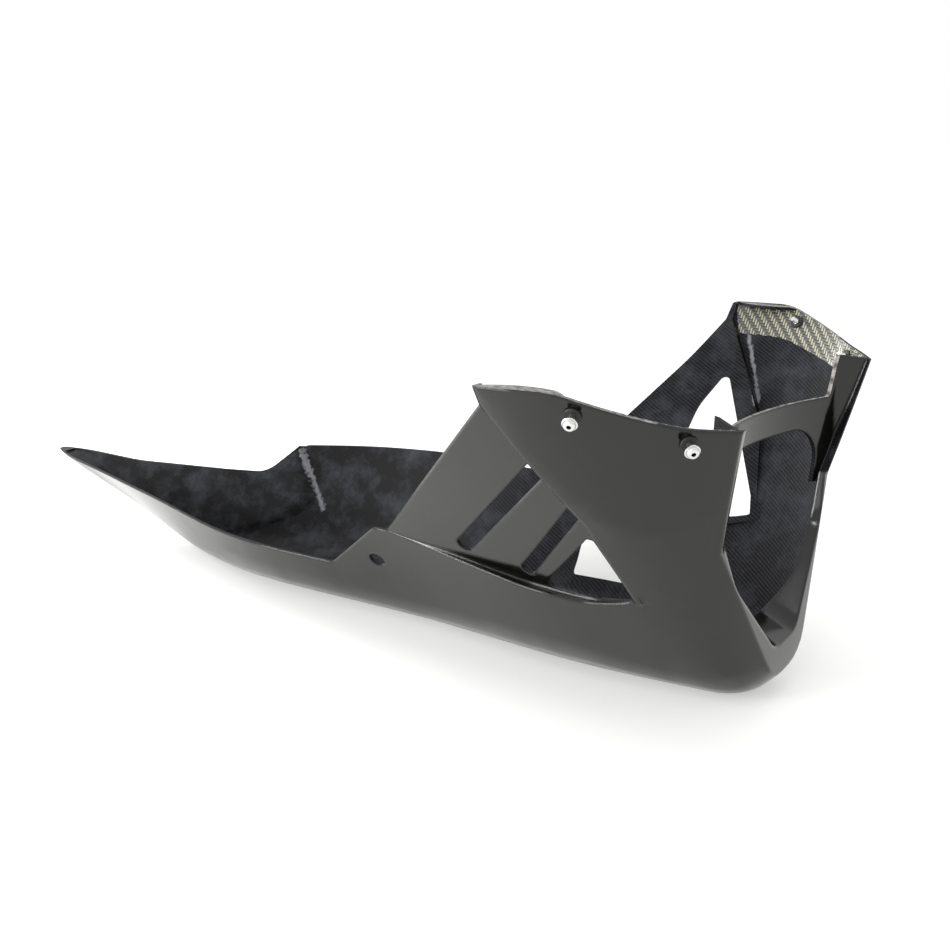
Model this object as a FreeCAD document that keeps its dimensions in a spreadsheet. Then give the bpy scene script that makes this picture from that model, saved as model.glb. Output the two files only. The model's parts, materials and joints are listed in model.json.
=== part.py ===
import FreeCAD
import Part
import Sketcher
import math
import os
from FreeCAD import Placement, Rotation, Vector

# Lower fairing of a motorbike: an open boat-tailed belly pan moulded in one piece.
# X runs forward, Y to the left and Z up. The origin lies on the ground under the middle of the part.

doc = FreeCAD.newDocument("lower_fairing")
sheet = doc.addObject("Spreadsheet::Sheet", "Sizes")

SIZES = (
    # Laminate
    ("wall", 2.8, "thickness of the moulded laminate"),
    ("keel_flat", 8.0, "half width of the flat strip along the keel"),
    ("keel_facing", 0.8, "depth faced off flat along the keel"),
    # Hull stations from the tail forward: run from the station before it
    ("stern_run", 99.0, "tail tip to stern"),
    ("tail_run", 87.0, "stern to tail"),
    ("waist_run", 86.0, "tail to waist"),
    ("belly_run", 106.0, "waist to belly"),
    ("shoulder_run", 176.0, "belly to shoulder"),
    ("sill_run", 149.0, "shoulder to sill"),
    ("cheek_run", 80.0, "sill to cheek"),
    ("forefoot_run", 42.0, "cheek to forefoot"),
    ("chin_run", 20.0, "forefoot to chin"),
    ("stem_run", 21.0, "chin to stem"),
    # Height of the keel at the stations that are off the ground
    ("tip_keel", 75.5, "keel height at the tail tip"),
    ("stern_keel", 42.5, "keel height at the stern"),
    ("tail_keel", 12.5, "keel height at the tail"),
    ("waist_keel", 0.3, "keel height at the waist"),
    ("forefoot_keel", 1.0, "keel height at the forefoot"),
    ("chin_keel", 10.0, "keel height at the chin"),
    ("stem_keel", 32.0, "keel height at the stem"),
    # Half width of the hull at the height of its keel
    ("tip_half", 1.6, "half width at the tail tip"),
    ("stern_half", 5.0, "half width at the stern"),
    ("tail_half", 7.9, "half width at the tail"),
    ("waist_half", 33.2, "half width at the waist"),
    ("belly_half", 57.3, "half width at the belly"),
    ("shoulder_half", 49.4, "half width at the shoulder"),
    ("sill_half", 61.6, "half width at the sill"),
    ("cheek_half", 46.8, "half width at the cheek"),
    ("forefoot_half", 41.8, "half width at the forefoot"),
    ("chin_half", 37.1, "half width at the chin"),
    ("stem_half", 28.6, "half width at the stem"),
    # Flare of the hull's sides: how far they lean out for each unit of height
    ("tip_flare", 0.60, "flare at the tail tip"),
    ("stern_flare", 0.80, "flare at the stern"),
    ("tail_flare", 0.74, "flare at the tail"),
    ("waist_flare", 0.60, "flare at the waist"),
    ("belly_flare", 0.55, "flare at the belly"),
    ("shoulder_flare", 0.56, "flare at the shoulder"),
    ("sill_flare", 0.60, "flare at the sill"),
    ("cheek_flare", 0.70, "flare at the cheek"),
    ("forefoot_flare", 0.62, "flare at the forefoot"),
    ("chin_flare", 0.58, "flare at the chin"),
    ("stem_flare", 0.56, "flare at the stem"),
    # Upper side panels
    ("panel_half", 217.0, "half width across the panels at their gauge height"),
    ("panel_gauge", 249.0, "gauge height of the panels' half width"),
    ("panel_flare", 0.53, "flare of the panels"),
    ("panel_turn", 20.5, "rear top corner to the start of the curve in plan"),
    ("panel_radius", 159.5, "radius of the panels in plan"),
    # Recess of the side panels
    ("ledge_rear", 113.3, "height of the ledge at the shoulder"),
    ("ledge_mid", 94.0, "height of the ledge at its dip"),
    ("ledge_low", 92.5, "height of the ledge at the end of its dip"),
    ("ledge_dip", 137.0, "start of the ledge's dip ahead of the shoulder"),
    ("ledge_dip_end", 38.0, "end of the ledge's dip behind the cheek"),
    ("ledge_inset", 0.3, "recessed panels inside the hull's side at the ends of the ledge"),
    ("ledge_fore", 102.4, "height of the ledge at the cheek"),
    ("ledge_dip_round", 200.0, "radius of the ledge at the start of its dip"),
    ("ledge_end_round", 120.0, "radius of the ledge at the end of its dip"),
    ("recess_step", 5.0, "depth of the recess at the rear top corner"),
    ("crease_drop", 85.0, "height from the rear top corner's foot to the end of the crease"),
    ("crease_run", 52.0, "length from the rear top corner's foot to the end of the crease"),
    # Leading edge and top edge
    ("corner_height", 274.0, "height of the rear top corner"),
    ("corner_foot", 259.0, "height of the foot of the rear top corner"),
    ("corner_back", 151.0, "rear top corner behind the top of the leading edge"),
    ("lead_height", 246.5, "height of the top of the leading edge"),
    ("lead_rake", 20.0, "top of the leading edge ahead of its kink"),
    ("kink_height", 151.8, "height of the kink in the leading edge"),
    ("chin_rake", 13.5, "chin ahead of the kink"),
    ("chin_height", 36.0, "height of the chin"),
    ("chin_under", 4.5, "foot of the chin's cut ahead of the chin"),
    ("corner_round", 2.0, "radius of the rear top corner"),
    ("crown_round", 60.0, "radius of the crown"),
    ("sag_round", 100.0, "radius of the sag of the top edge"),
    ("crown_run", 54.5, "rear top corner to the crown of the top edge"),
    ("crown_height", 275.0, "height of the crown of the top edge"),
    ("sag_back", 27.0, "sag of the top edge behind the top of the leading edge"),
    ("sag_height", 251.0, "height of the top edge at its sag"),
    # Rims of the tray
    ("tip_solid", 14.0, "length of the solid tail tip"),
    ("tip_rim", 79.0, "height of the rims at the tail tip"),
    ("stern_rim", 71.8, "height of the rims at the stern"),
    ("stern_round", 400.0, "radius of the rims at the stern"),
    ("corner_foot_back", 2.5, "foot of the rear top corner behind the corner"),
    ("corner_foot_round", 4.0, "radius of the foot of the rear top corner"),
    ("lug_top", 13.7, "flat top of the right lug behind the ledge"),
    ("lug_run", 67.0, "foot of the right lug to its top"),
    ("low_rim", 61.5, "height of the right rim at the foot of the lug"),
    ("lug_foot_round", 14.0, "radius of the foot of the right lug"),
    ("lug_round", 12.0, "radius of the right lug's shoulder"),
    ("lug_end_round", 3.0, "radius between the right lug and the panel"),
    ("step_foot", 70.0, "foot of the left rim's step ahead of the tail station"),
    ("step_run", 31.0, "length of the left rim's step"),
    ("step_low", 71.0, "height of the left rim below its step"),
    ("step_high", 101.0, "height of the left rim above its step"),
    ("left_rim", 113.0, "height of the left rim amidships"),
    ("left_rim_run", 75.0, "middle of the left rim ahead of the belly"),
    ("step_foot_round", 30.0, "radius of the foot of the left rim's step"),
    ("step_round", 9.0, "radius of the head of the left rim's step"),
    ("left_rim_round", 400.0, "radius of the left rim amidships"),
    ("left_foot", 42.0, "foot of the left panel's rear edge ahead of the shoulder"),
    ("left_brow", 25.0, "bend of the left panel's rear edge behind its top"),
    ("left_brow_drop", 33.5, "bend of the left panel's rear edge below the corner's foot"),
    ("left_foot_round", 18.0, "radius of the foot of the left panel's rear edge"),
    ("left_brow_round", 300.0, "radius of the bend of the left panel's rear edge"),
    # Air slots and windows, set out on the recessed panels from the rear end of the ledge
    ("slot_land", 2.0, "land left between the slots and the crease or ledge"),
    ("long_slot_along", 79.0, "lower end of the long slot along the ledge"),
    ("long_slot_up", 7.0, "lower end of the long slot above the ledge line"),
    ("long_slot_lean", 49.7, "lean of the long slot in degrees"),
    ("long_slot_width", 14.0, "width of the long slot"),
    ("short_slot_along", 136.0, "lower end of the short slot along the ledge"),
    ("short_slot_up", -1.0, "lower end of the short slot above the ledge line"),
    ("short_slot_lean", 54.6, "lean of the short slot in degrees"),
    ("short_slot_width", 11.0, "width of the short slot"),
    ("window_along", 150.0, "rear corner of the right window along the ledge"),
    ("window_length", 79.0, "length of the right window's foot"),
    ("window_height", 62.5, "height of the right window"),
    ("window_lap", 10.0, "foot of the right window below the ledge line"),
    ("window_nib", 2.0, "front corner of the right window above the ledge line"),
    ("window_apex", 58.9, "apex of the right window ahead of its rear corner"),
    ("window_apex_width", 5.2, "width of the right window at its apex"),
    ("window_round", 4.0, "radius of the windows' feet"),
    ("apex_round", 2.0, "radius of the right window's apex"),
    ("left_window_along", 137.0, "rear corner of the left window along the ledge"),
    ("left_window_length", 94.0, "length of the left window's foot"),
    ("left_window_height", 131.0, "height of the left window"),
    ("left_window_apex", 32.0, "apex of the left window ahead of its rear corner"),
    ("left_window_lap", 9.0, "rear corner of the left window below the ledge line"),
    ("left_window_sag_run", 25.4, "sag of the left window's foot ahead of its rear corner"),
    ("left_window_sag", 11.5, "sag of the left window's foot below the ledge line"),
    ("left_window_rise_run", 63.0, "rise of the left window's foot ahead of its rear corner"),
    ("left_window_rise", 7.5, "rise of the left window's foot below the ledge line"),
    ("left_window_brow_run", 14.4, "bend of the left window's rear edge ahead of its rear corner"),
    ("left_window_brow", 92.4, "bend of the left window's rear edge above the ledge line"),
    ("left_window_toe", 8.0, "radius of the left window's front corner"),
    ("left_window_round", 5.0, "radius of the left window's apex"),
    ("left_window_bend", 60.0, "radius of the bends of the left window's edges"),
    # Drain hole in the right side
    ("drain_back", 26.5, "drain hole behind the shoulder"),
    ("drain_height", 75.0, "height of the drain hole"),
    ("drain_bore", 15.0, "diameter of the drain hole"),
    # Front opening, its lip and the bridge across it
    ("bridge_low", 192.5, "height of the lower edge of the bridge"),
    ("bridge_high", 215.8, "height of the upper edge of the bridge"),
    ("bridge_bow", 32.7, "bow of the bridge behind the feet of its flanges"),
    ("bridge_spread", 6.0, "ends of the bridge's lower edge outside the front opening"),
    ("bridge_round", 28.0, "radius at the ends of the bridge's lower edge"),
    ("web_lap", 8.0, "lap of the web below the kink"),
    ("tab_round", 4.0, "radius between the bridge and the flanges"),
    ("flange_back", 22.6, "foot of the leading flanges behind the leading edge"),
    ("flange_half", 131.6, "half width between the feet of the leading flanges"),
    ("flange_slope", 0.755, "slope of the leading flanges in plan"),
    ("tab_lean", 0.185, "lean of the flanges' free edges"),
    ("mouth_half", 112.5, "half width of the front opening at the kink"),
    ("mouth_bend", 96.0, "half width of the front opening at its bend"),
    ("mouth_bend_height", 118.0, "height of the bend of the front opening"),
    ("mouth_floor", 50.0, "height of the floor of the front opening"),
    ("mouth_floor_half", 24.0, "half width of the floor of the front opening"),
    ("mouth_spread", 4.0, "widening of the front opening above the kink"),
    ("mouth_rise", 20.0, "height of the front opening's sides above the kink"),
    ("mouth_round", 25.0, "radius of the front opening at the kink"),
    ("mouth_bend_round", 60.0, "radius of the front opening at its bend"),
    ("mouth_floor_round", 28.0, "radius of the front opening at its floor"),
    ("lip_depth", 34.0, "depth of the lip behind the front opening"),
    ("lip_rise", 14.0, "rise of the lip over its depth"),
    ("lip_head", 5.0, "lip's free edge behind the kink at its top"),
    ("lip_waist", 2.0, "lip's free edge behind the kink at its waist"),
    ("lip_waist_rise", 32.0, "waist of the lip above the floor of the opening"),
    ("lip_waist_round", 25.0, "radius of the lip's free edge at its waist"),
    # Turned-in corner at the rear top
    ("corner_turn", 68.0, "length of the turned-in rear top corner"),
    ("corner_inset", 13.0, "depth of the turned-in rear top corner"),
    # Fixings
    ("screw_back", 85.0, "rear screw behind the leading edge"),
    ("screw_drop", 15.0, "rear screw below the crown"),
    ("lead_screw_back", 25.5, "front screw behind the leading edge"),
    ("lead_screw_drop", 5.5, "front screw below the top of the leading edge"),
    ("grommet_bore", 8.8, "diameter of the holes for the grommets"),
    ("grommet_flange", 11.6, "diameter of the grommets' flanges"),
    ("grommet_lip", 1.6, "thickness of the grommets' flanges"),
    ("fit_gap", 0.1, "gap around fitted pieces"),
    ("bed_gap", 0.4, "gap between the grommets' inner flanges and the ply"),
    ("shank_bore", 4.8, "diameter of the screws' shanks"),
    ("thread_bore", 4.4, "diameter of the screws' threaded ends"),
    ("thread_length", 6.0, "length of the screws' threaded ends"),
    ("screw_tip", 12.0, "screws' tips behind the panel's outer face"),
    ("screw_reach", 8.2, "screws' heads ahead of the panel's outer face"),
    ("collar_bore", 10.4, "diameter of the screws' collars"),
    ("collar_height", 1.1, "height of the screws' collars"),
    ("head_base", 8.6, "diameter of the screws' heads above the collar"),
    ("head_crown", 5.6, "diameter of the flat on the screws' heads"),
    ("head_height", 2.6, "height of the screws' heads above the collar"),
    ("socket_across", 3.0, "width of the hexagon sockets across their corners"),
    ("socket_deep", 2.2, "depth of the hexagon sockets"),
    # Ply inside the panels
    ("ply", 0.6, "thickness of the ply"),
    ("bond", 0.05, "bond line under the ply and the label"),
    ("ply_drop", 28.0, "lower edge of the ply below the crown"),
    ("ply_fore_drop", 25.0, "lower edge of the ply below the top of the leading edge"),
    ("ply_land", 1.0, "ply kept back from the crease"),
    ("ply_round", 80.0, "radius of the ply's lower edge"),
    # Blank label inside the left side
    ("label", 0.3, "thickness of the label"),
    ("label_back", 152.0, "rear edge of the label behind the cheek"),
    ("label_length", 58.0, "length of the label"),
    ("label_low", 32.0, "height of the label's lower edge"),
    ("label_rise", 30.0, "upper edge of the label above its lower edge"),
    ("label_round", 3.0, "radius of the label's corners"),
)

for row, (alias, value, note) in enumerate(SIZES, start=1):
    sheet.set(f"A{row}", note)
    sheet.set(f"B{row}", str(value))
    sheet.setAlias(f"B{row}", alias)
doc.recompute()


def size(alias):
    return float(sheet.get(alias))


WALL = size("wall")
STATIONS = ("tip", "stern", "tail", "waist", "belly", "shoulder", "sill", "cheek", "forefoot", "chin", "stem")
AFLOAT = ("tip", "stern", "tail", "waist", "forefoot", "chin", "stem")
LENGTH = sum(size(name + "_run") for name in STATIONS[1:-1]) + size("lead_rake")
TIP_X = -LENGTH / 2
# Heights and widths that lie outside the part, for blocks and cutters
HIGH = 340.0
WIDE = 400.0
CUT_REACH = 8 * WALL
# Height that the low stations' sections are drawn up to before the rims are cut
DRAWN_UP = {"tip": 110.0, "stern": 120.0, "tail": 130.0, "waist": 150.0, "belly": 200.0}
# Degree of the hull along its length
LOFT_DEGREE = 3
# Strips that each bilge is built up from
BILGE_STRIPS = 4
# Widest keel strip on a narrow section, as a share of its half width
NARROW_KEEL = 0.4
# Move of the crease along X for each unit of depth
CREASE_SLIP = 1.2
# Turn of the panels' curve in plan, past the leading edge
PANEL_SWEEP = math.radians(62.0)
# Start of the lip and length of the opening's cutter, in lip depths
LIP_START = -0.5
MOUTH_THROUGH = 1.5
# Radius of a slot's round end as a share of its half width
SLOT_ROUND = 0.98


def station_x(name):
    """Place of a hull station along X."""
    return TIP_X + sum(size(step + "_run") for step in STATIONS[1:STATIONS.index(name) + 1])


def keel_z(name):
    """Height of the keel at a station."""
    return size(name + "_keel") if name in AFLOAT else -size("keel_facing")


def hull_y(name, z):
    """Half width of the hull at a station and height."""
    return size(name + "_half") + size(name + "_flare") * (z - keel_z(name))


def hull_section(name, depth, top):
    """Closed section of the hull at a station, its skin moved inward by depth."""
    x = station_x(name)
    flare = size(name + "_flare")
    lean = math.hypot(1.0, flare)
    bottom = keel_z(name) + depth
    corner = size(name + "_half") - depth * (lean - flare)
    flat = min(size("keel_flat"), NARROW_KEEL * corner)
    reach = corner - flat
    turn = (corner + reach * flare / lean, bottom + reach / lean)
    crest = corner + flare * (top - bottom)
    edges = []
    for sign in (-1, 1):
        upper = Vector(x, sign * crest, top)
        round_end = Vector(x, sign * turn[0], turn[1])
        foot = Vector(x, sign * flat, bottom)
        bilge = Part.BezierCurve()
        bilge.setPoles([round_end, Vector(x, sign * corner, bottom), foot])
        points = [upper] + [bilge.value(strip / BILGE_STRIPS) for strip in range(BILGE_STRIPS + 1)]
        edges += [Part.makeLine(start, end) for start, end in zip(points, points[1:])]
    edges.append(Part.makeLine(Vector(x, -flat, bottom), Vector(x, flat, bottom)))
    edges.append(Part.makeLine(Vector(x, -crest, top), Vector(x, crest, top)))
    return Part.Wire(Part.__sortEdges__(edges))


def rounded_wire(corners):
    """Closed wire through (point, radius) corners, with a tangent arc at each rounded one."""
    count = len(corners)
    ends = []
    for index, (point, radius) in enumerate(corners):
        if radius == 0:
            ends.append((point, None, point))
            continue
        back = (corners[index - 1][0] - point).normalize()
        ahead = (corners[(index + 1) % count][0] - point).normalize()
        half = back.getAngle(ahead) / 2
        reach = radius / math.tan(half)
        middle = point + (back + ahead).normalize() * (radius / math.sin(half) - radius)
        ends.append((point + back * reach, middle, point + ahead * reach))
    edges = []
    for index, (start, middle, end) in enumerate(ends):
        if middle is not None:
            edges.append(Part.Arc(start, middle, end).toShape())
        following = ends[(index + 1) % count][0]
        if not end.isEqual(following, 1e-6):
            edges.append(Part.makeLine(end, following))
    return Part.Wire(edges)


def prism(corners, along):
    return Part.Face(rounded_wire(corners)).extrude(along)


def side_prism(outline, y_from=-WIDE, y_to=WIDE):
    """Solid of a side-view outline of (x, z, radius) corners, drawn across the part."""
    corners = [(Vector(x, y_from, z), radius) for x, z, radius in outline]
    return prism(corners, Vector(0, y_to - y_from, 0))


def front_prism(outline, x_from, along):
    """Solid of a front-view outline of (y, z, radius) corners, drawn along the part."""
    corners = [(Vector(x_from, y, z), radius) for y, z, radius in outline]
    return prism(corners, along)


def beyond(point, normal):
    """Everything on the outer side of a plane, as a large block."""
    block = Part.makeBox(4 * WIDE, 4 * WIDE, WIDE, Vector(-2 * WIDE, -2 * WIDE, 0))
    block.Placement = Placement(point, Rotation(Vector(0, 0, 1), normal))
    return block


def mirrored(shape):
    return shape.mirror(Vector(0, 0, 0), Vector(0, 1, 0))


# Reference points in the side view
KINK_X = station_x("chin")
LEAD_X = KINK_X + size("lead_rake")
CORNER_X = LEAD_X - size("corner_back")
CREASE_X = CORNER_X + size("crease_run")
CREASE_Z = size("corner_foot") - size("crease_drop")
LEDGE_X = station_x("shoulder")
CHEEK_X = station_x("cheek")


def panel_y(x, z):
    """Half width of the upper panels' outer skin at a point of the side view."""
    radius = size("panel_radius")
    past = max(0.0, x - CORNER_X - size("panel_turn"))
    inset = radius - math.sqrt(radius ** 2 - past ** 2)
    return size("panel_half") - inset + size("panel_flare") * (z - size("panel_gauge"))


def hull_solid(depth):
    """The hull as a filled body, its sides drawn up past every edge that is cut later."""
    sections = [hull_section(name, depth, DRAWN_UP.get(name, HIGH)) for name in STATIONS]
    body = Part.makeLoft(sections, True, False, False, LOFT_DEGREE)
    ground = Part.makeBox(4 * WIDE, 4 * WIDE, WIDE, Vector(-2 * WIDE, -2 * WIDE, depth - WIDE))
    return body.cut(ground)


def panel_solid(depth):
    """The body between the upper panels: a plan outline drawn up along their flare, and its mirror."""
    flare = size("panel_flare")
    inset = depth * math.hypot(1.0, flare)
    half = size("panel_half") - flare * size("panel_gauge") - inset
    radius = size("panel_radius") - inset
    turn = CORNER_X + size("panel_turn")

    def on_arc(angle):
        return Vector(turn + radius * math.sin(angle), radius - half - radius * math.cos(angle), 0)

    rear = Vector(-WIDE, -half, 0)
    end = on_arc(PANEL_SWEEP)
    edges = [
        Part.makeLine(rear, on_arc(0.0)),
        Part.Arc(on_arc(0.0), on_arc(PANEL_SWEEP / 2), end).toShape(),
        Part.makeLine(end, Vector(end.x, WIDE, 0)),
        Part.makeLine(Vector(end.x, WIDE, 0), Vector(-WIDE, WIDE, 0)),
        Part.makeLine(Vector(-WIDE, WIDE, 0), rear),
    ]
    right = Part.Face(Part.Wire(edges)).extrude(Vector(0, -flare * HIGH, HIGH))
    return right.common(mirrored(right))


def recess_plane(depth):
    """A point and the outward normal of the right recessed panel, moved inward by depth."""
    rear = Vector(LEDGE_X, size("ledge_inset") - hull_y("shoulder", size("ledge_rear")), size("ledge_rear"))
    fore = Vector(CHEEK_X, size("ledge_inset") - hull_y("cheek", size("ledge_fore")), size("ledge_fore"))
    top_y = panel_y(CORNER_X, size("corner_height")) - size("recess_step")
    top = Vector(CORNER_X, -top_y, size("corner_height"))
    normal = (fore - rear).cross(top - rear).normalize()
    if normal.y > 0:
        normal = -normal
    return rear - normal * depth, normal


def crease_line(back=0.0):
    """Side view of the crease from above the rear top corner down to the cheek."""
    return [
        (CORNER_X - back, HIGH, 0),
        (CORNER_X - back, size("corner_foot"), 0),
        (CREASE_X - back, CREASE_Z, 0),
        (CHEEK_X - back, size("ledge_fore"), 0),
    ]


def ledge_line(raise_by=0.0):
    """Side view of the ledge from the shoulder to the cheek."""
    return [
        (LEDGE_X, size("ledge_rear") + raise_by, 0),
        (LEDGE_X + size("ledge_dip"), size("ledge_mid") + raise_by, size("ledge_dip_round")),
        (CHEEK_X - size("ledge_dip_end"), size("ledge_low") + raise_by, size("ledge_end_round")),
        (CHEEK_X, size("ledge_fore") + raise_by, 0),
    ]


def ahead_of_crease(back):
    """Everything ahead of the crease."""
    front = [(CHEEK_X - back, -WIDE, 0), (2 * WIDE, -WIDE, 0), (2 * WIDE, HIGH, 0)]
    return side_prism(crease_line(back) + front)


def block_ahead(x):
    return Part.makeBox(4 * WIDE, 4 * WIDE, 4 * WIDE, Vector(x, -2 * WIDE, -2 * WIDE))


def filled(depth):
    """The whole fairing as a filled body, its skin moved inward by depth."""
    hull = hull_solid(depth)
    back = -CREASE_SLIP * depth
    over = [(2 * WIDE, size("ledge_fore") - depth, 0), (2 * WIDE, HIGH, 0), (LEDGE_X, HIGH, 0)]
    above_ledge = side_prism(ledge_line(-depth) + over)
    lower = hull.cut([above_ledge, block_ahead(CHEEK_X - back)])
    upper = hull.common(panel_solid(depth)).common(ahead_of_crease(back))
    lap = size("recess_step")
    foot = ledge_line(-depth - lap)
    behind = crease_line(back - lap) + foot[::-1] + [(LEDGE_X, HIGH, 0)]
    point, normal = recess_plane(depth)
    right = beyond(point, normal)
    recess = side_prism(behind).cut([right, mirrored(right)])
    return lower.fuse([recess, upper])


def nose(back, top_open):
    """Side view ahead of the leading edge, moved back; open above the kink for the inside."""
    kink = size("kink_height")
    chin_x = KINK_X + size("chin_rake") - back
    under = chin_x + size("chin_under")
    outline = [
        (KINK_X - back, kink, 0),
        (chin_x, size("chin_height"), 0),
        (under, -WIDE, 0),
        (2 * WIDE, -WIDE, 0),
    ]
    if top_open:
        return outline + [(2 * WIDE, kink, 0)]
    rake = size("lead_rake") / (size("lead_height") - kink)
    return outline + [(2 * WIDE, HIGH, 0), (KINK_X + rake * (HIGH - kink), HIGH, 0)]


def top_edge():
    """Side view of the panels' top edge, from the rear top corner forward and closed above."""
    return [
        (CORNER_X, size("corner_height"), size("corner_round")),
        (CORNER_X + size("crown_run"), size("crown_height"), size("crown_round")),
        (LEAD_X - size("sag_back"), size("sag_height"), size("sag_round")),
        (LEAD_X, size("lead_height"), 0),
        (2 * WIDE, size("lead_height"), 0),
        (2 * WIDE, 2 * HIGH, 0),
        (-2 * WIDE, 2 * HIGH, 0),
        (-2 * WIDE, size("tip_rim"), 0),
        (TIP_X, size("tip_rim"), 0),
        (station_x("stern"), size("stern_rim"), size("stern_round")),
    ]


def trimmed(shape):
    """Cuts the rims of the tray and the edges of the panels on both sides."""
    corner_foot = (CORNER_X - size("corner_foot_back"), size("corner_foot"), size("corner_foot_round"))
    lug_x = LEDGE_X - size("lug_top")
    right = top_edge() + [
        (lug_x - size("lug_run"), size("low_rim"), size("lug_foot_round")),
        (lug_x, size("ledge_rear"), size("lug_round")),
        (LEDGE_X, size("ledge_rear"), size("lug_end_round")),
        corner_foot,
    ]
    step_x = station_x("tail") + size("step_foot")
    foot_x = LEDGE_X + size("left_foot")
    brow_x = CORNER_X - size("left_brow")
    left = top_edge() + [
        (step_x, size("step_low"), size("step_foot_round")),
        (step_x + size("step_run"), size("step_high"), size("step_round")),
        (station_x("belly") + size("left_rim_run"), size("left_rim"), size("left_rim_round")),
        (foot_x, size("ledge_rear"), size("left_foot_round")),
        (brow_x, size("corner_foot") - size("left_brow_drop"), size("left_brow_round")),
        corner_foot,
    ]
    shape = shape.cut(side_prism(right, -WIDE, 0.0))
    return shape.cut(side_prism(left, 0.0, WIDE))


def recess_frame():
    """Origin, forward and upward axes and outward normal of the right recessed panel."""
    origin, normal = recess_plane(0.0)
    fore = Vector(CHEEK_X, size("ledge_inset") - hull_y("cheek", size("ledge_fore")), size("ledge_fore"))
    along = (fore - origin).normalize()
    upward = along.cross(normal).normalize()
    if upward.z < 0:
        upward = -upward
    return origin, along, upward, normal


def recess_cutter(outline):
    """Cutter through the right recessed panel for an outline of (along, up, radius) corners."""
    origin, along, upward, normal = recess_frame()
    base = origin - normal * CUT_REACH
    corners = [(base + along * u + upward * v, radius) for u, v, radius in outline]
    return prism(corners, normal * (2 * CUT_REACH))


def slot_outline(name, length):
    """Outline of a slot with a round lower end, long enough to pass the crease."""
    half = size(name + "_width") / 2
    lean = math.radians(size(name + "_lean"))
    u, v = size(name + "_along"), size(name + "_up")
    ahead = (math.cos(lean), math.sin(lean))
    aside = (-ahead[1] * half, ahead[0] * half)
    far = (u + ahead[0] * length, v + ahead[1] * length)
    end_round = SLOT_ROUND * half
    return [
        (u + aside[0], v + aside[1], end_round),
        (u - aside[0], v - aside[1], end_round),
        (far[0] - aside[0], far[1] - aside[1], 0),
        (far[0] + aside[0], far[1] + aside[1], 0),
    ]


def slots():
    """Two leaning slots and a triangular window on the right, one tall window on the left."""
    u = size("window_along")
    front = u + size("window_length")
    apex = u + size("window_apex")
    foot = -size("window_lap")
    window = [
        (u, foot, size("window_round")),
        (front, foot, size("window_round")),
        (front, size("window_nib"), size("window_round")),
        (apex, size("window_height"), size("apex_round")),
        (apex - size("window_apex_width"), size("window_height"), size("apex_round")),
    ]
    u = size("left_window_along")
    bend = size("left_window_bend")
    left_window = [
        (u, -size("left_window_lap"), size("window_round")),
        (u + size("left_window_sag_run"), -size("left_window_sag"), bend),
        (u + size("left_window_rise_run"), -size("left_window_rise"), bend),
        (u + size("left_window_length"), 0.0, size("left_window_toe")),
        (u + size("left_window_apex"), size("left_window_height"), size("left_window_round")),
        (u + size("left_window_brow_run"), size("left_window_brow"), bend),
    ]
    right = [recess_cutter(slot_outline(name, WIDE / 2)) for name in ("long_slot", "short_slot")]
    right.append(recess_cutter(window))
    cutters = right + [mirrored(recess_cutter(left_window))]
    land = size("slot_land")
    below = side_prism(ledge_line(land) + [(CHEEK_X, 0, 0), (LEDGE_X, 0, 0)])
    return [cutter.cut([ahead_of_crease(land), below]) for cutter in cutters]


def drain():
    """Cutter for the drain hole, square to the hull's right side."""
    x = LEDGE_X - size("drain_back")
    share = size("drain_back") / size("shoulder_run")
    z = size("drain_height")
    y = hull_y("shoulder", z) * (1 - share) + hull_y("belly", z) * share
    outward = Vector(0, -1, -size("shoulder_flare")).normalize()
    start = Vector(x, -y, z) - outward * CUT_REACH
    return Part.makeCylinder(size("drain_bore") / 2, 2 * CUT_REACH, start, outward)


def mouth_outline():
    """Front view of the opening below the bridge, from its open top round the floor."""
    kink = size("kink_height")
    half = [
        (size("mouth_half") + size("mouth_spread"), kink + size("mouth_rise"), 0),
        (size("mouth_half"), kink, size("mouth_round")),
        (size("mouth_bend"), size("mouth_bend_height"), size("mouth_bend_round")),
        (size("mouth_floor_half"), size("mouth_floor"), size("mouth_floor_round")),
    ]
    return half + [(-y, z, radius) for y, z, radius in reversed(half)]


def mouth(grow, start, end):
    """The opening drawn back along the lip, from start to end in lip depths."""
    along = Vector(-size("lip_depth"), 0, size("lip_rise"))
    place = Vector(KINK_X + size("chin_rake") / 2, 0, 0) + along * start
    corners = [(place + Vector(0, y, z), radius) for y, z, radius in mouth_outline()]
    wire = rounded_wire(corners)
    if grow:
        wire = wire.makeOffset2D(grow)
    return Part.Face(wire).extrude(along * (end - start))


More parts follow.
